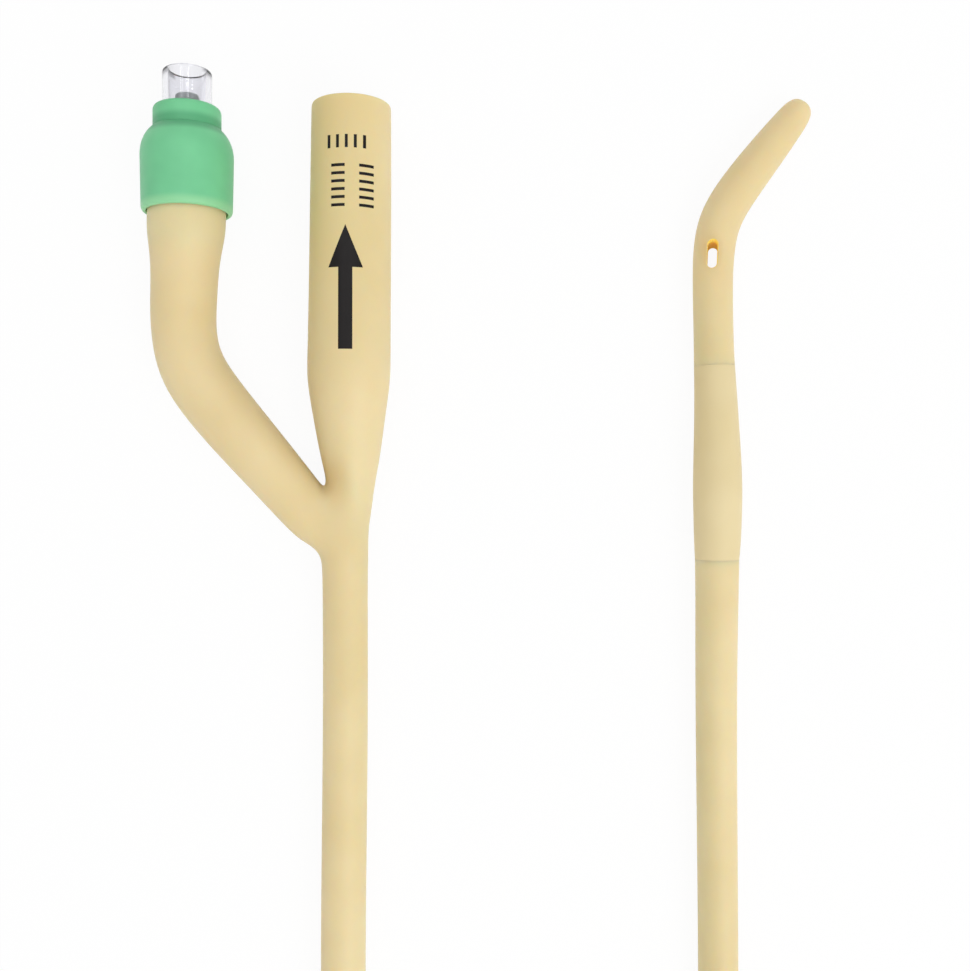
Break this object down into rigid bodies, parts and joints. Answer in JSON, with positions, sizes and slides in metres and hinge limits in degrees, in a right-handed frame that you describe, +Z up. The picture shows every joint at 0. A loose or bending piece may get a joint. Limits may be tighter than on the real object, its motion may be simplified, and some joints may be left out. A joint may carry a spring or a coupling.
{
  "type": "foley urinary catheter",
  "caption": "Balloon urinary catheter with an elbow tip, a drain funnel and an inflation arm ending in a green boot and clear syringe valve, laid flat in a hairpin.",
  "frame": {"origin": "under the middle of the part's box, on the surface that the part lies on", "axes": "+Z up; +Y along the hairpin's legs, towards the drain mouth, the valve and the tip; +X from the drain leg to the tip leg"},
  "size_m": [0.0786, 0.1922, 0.0106],
  "materials": {
    "latex": "satin, slightly see-through natural latex",
    "green_boot": "soft satin, moulded",
    "clear_plastic": "clear, polished, moulded",
    "grey_plastic": "satin, moulded",
    "seal_rubber": "matt",
    "spring_steel": "bright drawn wire"
  },
  "bodies": {
    "catheter": {"catheter_body": "latex", "balloon_sleeve": "latex", "valve_boot": "green_boot", "valve_housing": "clear_plastic", "valve_spring": "spring_steel", "spring_seat": "grey_plastic"},
    "plunger": {"valve_plunger": "grey_plastic", "valve_seal": "seal_rubber"}
  },
  "joints": [
    {"name": "plunger_press", "type": "slide", "parent": "catheter", "child": "plunger", "axis": [0, -1, 0], "range_m": [0, 0.0023], "stiffness_N_per_m": 800, "springref_m": -0.0015, "deforming": ["valve_spring"]}
  ]
}
